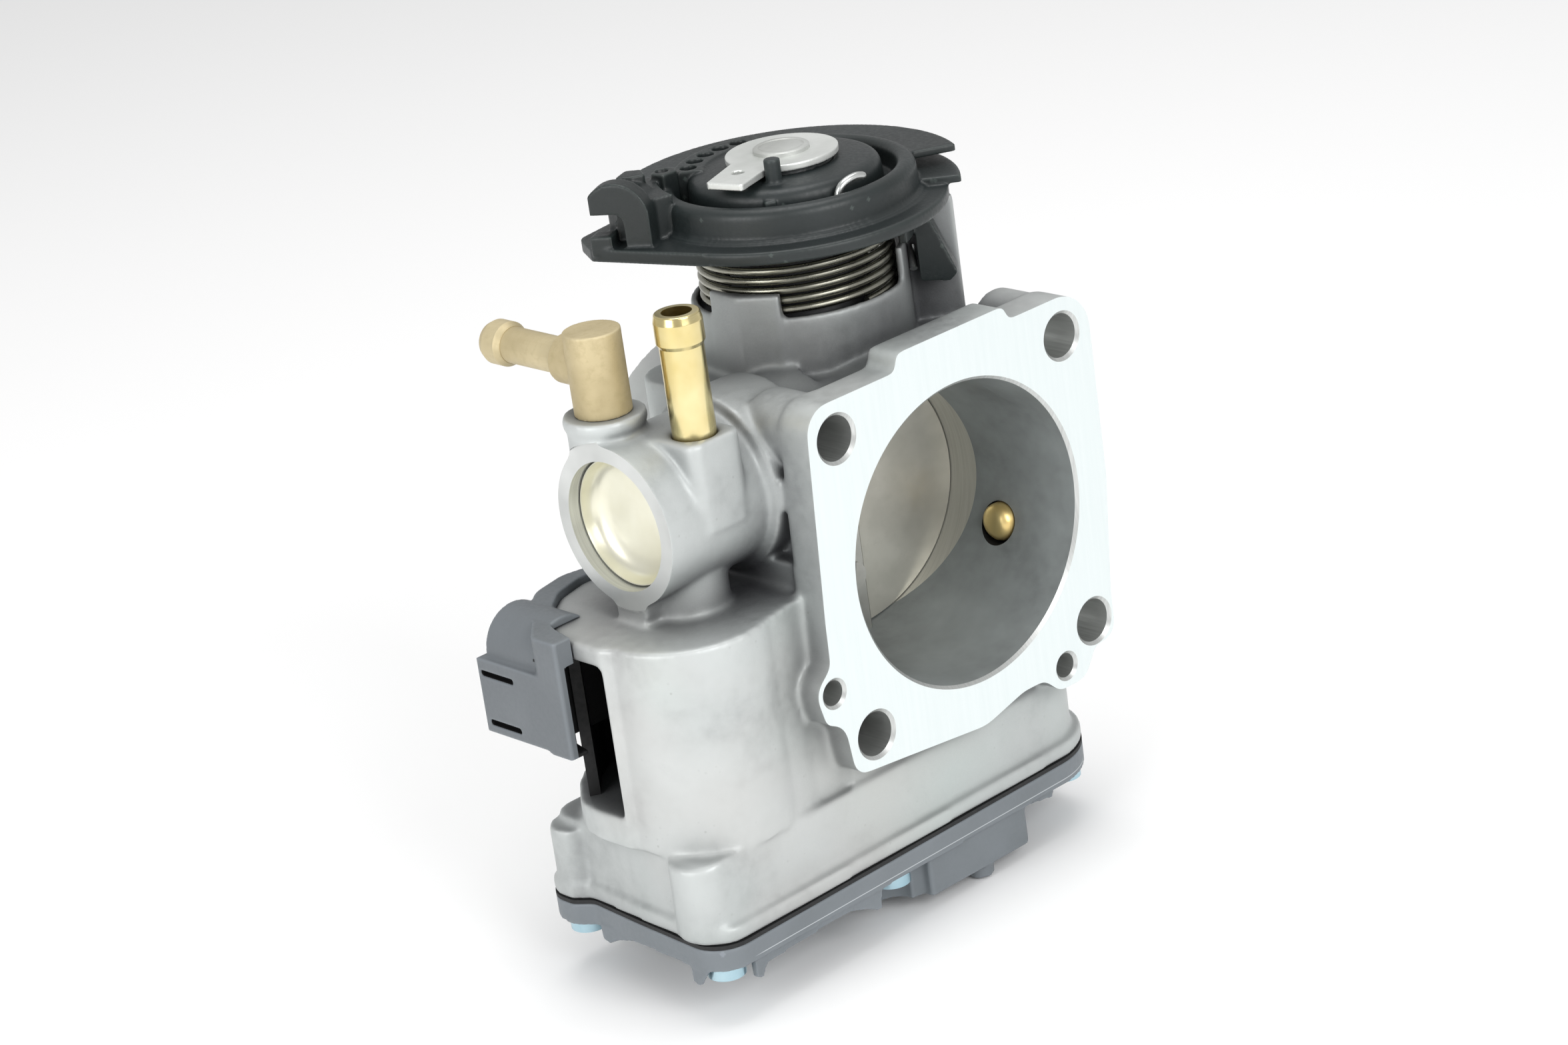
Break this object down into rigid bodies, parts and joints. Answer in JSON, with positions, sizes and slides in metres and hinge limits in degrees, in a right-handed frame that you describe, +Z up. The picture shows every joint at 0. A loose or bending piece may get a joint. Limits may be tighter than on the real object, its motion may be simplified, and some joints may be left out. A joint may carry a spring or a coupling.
{
  "type": "throttle body",
  "caption": "Cable-operated throttle body: cast bore with butterfly plate, return-sprung cable pulley, coolant barrel with hose fittings and a geared idle actuator in its covered base.",
  "frame": {"origin": "centre of the four-bolt pattern on the machined flange face, which is also the centre of the bore mouth", "axes": "-Y out of the flange face, +Y down the bore, +Z up the throttle shaft to the pulley, +X to the right seen from the flange side"},
  "size_m": [0.1194, 0.074, 0.1486],
  "materials": {
    "cast_aluminium": "satin",
    "plate_metal": "satin",
    "shaft_steel": "satin",
    "zinc_steel": "satin",
    "spring_steel": "satin",
    "brass": "satin",
    "plated_plug": "gloss",
    "pulley_black": "satin",
    "cover_plastic": "satin",
    "gear_plastic": "matte",
    "board_plastic": "matte",
    "seal_rubber": "matte"
  },
  "bodies": {
    "body": {"housing": "cast_aluminium", "upper_shaft_bearing": "brass", "lower_shaft_bearing": "brass", "upper_shaft_seal": "seal_rubber", "lower_shaft_seal": "seal_rubber", "upper_bearing_cap": "zinc_steel", "bore_pin": "brass", "barrel_plug": "plated_plug", "straight_nipple": "brass", "elbow_body": "brass", "elbow_tube": "brass", "connector_housing": "cover_plastic", "connector_terminals": "brass", "bottom_cover": "cover_plastic", "cover_seal": "seal_rubber", "cover_screws": "zinc_steel", "idle_motor_can": "zinc_steel", "motor_mounting_plate": "zinc_steel", "motor_mounting_screws": "zinc_steel", "gear_axle": "shaft_steel", "sensor_board": "board_plastic", "spring_lower_leg": "zinc_steel", "return_spring": "spring_steel"},
    "throttle": {"throttle_shaft": "shaft_steel", "throttle_plate": "plate_metal", "plate_screws": "zinc_steel", "cable_pulley": "pulley_black", "shaft_washer": "zinc_steel", "shaft_end_ring": "shaft_steel", "spring_top_leg": "zinc_steel", "sensor_wiper": "gear_plastic", "throttle_lever": "zinc_steel", "sector_retaining_clip": "zinc_steel"},
    "idle_sector": {"idle_sector_gear": "gear_plastic"},
    "idle_intermediate": {"intermediate_gear": "gear_plastic"},
    "idle_rotor": {"motor_pinion": "brass", "motor_shaft": "shaft_steel"}
  },
  "joints": [
    {"name": "throttle_turn", "type": "hinge", "parent": "body", "child": "throttle", "pos_m": [0, 0.0391, 0], "axis": [0, 0, -1], "range_deg": [0, 80], "stiffness_Nm_per_rad": 0.15, "springref_deg": -28.65, "deforming": ["return_spring"]},
    {"name": "idle_sector_turn", "type": "hinge", "parent": "body", "child": "idle_sector", "pos_m": [0, 0.0391, 0], "axis": [0, 0, -1], "range_deg": [0, 17]},
    {"name": "idle_intermediate_turn", "type": "hinge", "parent": "body", "child": "idle_intermediate", "pos_m": [-0.03645, 0.02834, 0], "axis": [0, 0, -1], "range_deg": [-92, 1]},
    {"name": "idle_rotor_turn", "type": "hinge", "parent": "body", "child": "idle_rotor", "pos_m": [-0.057, 0.0205, 0], "axis": [0, 0, -1], "range_deg": [-1, 310]}
  ],
  "couplings": [
    {"joint": "idle_intermediate_turn", "follows": "idle_sector_turn", "ratio": -5.3333},
    {"joint": "idle_rotor_turn", "follows": "idle_sector_turn", "ratio": 18.133}
  ]
}
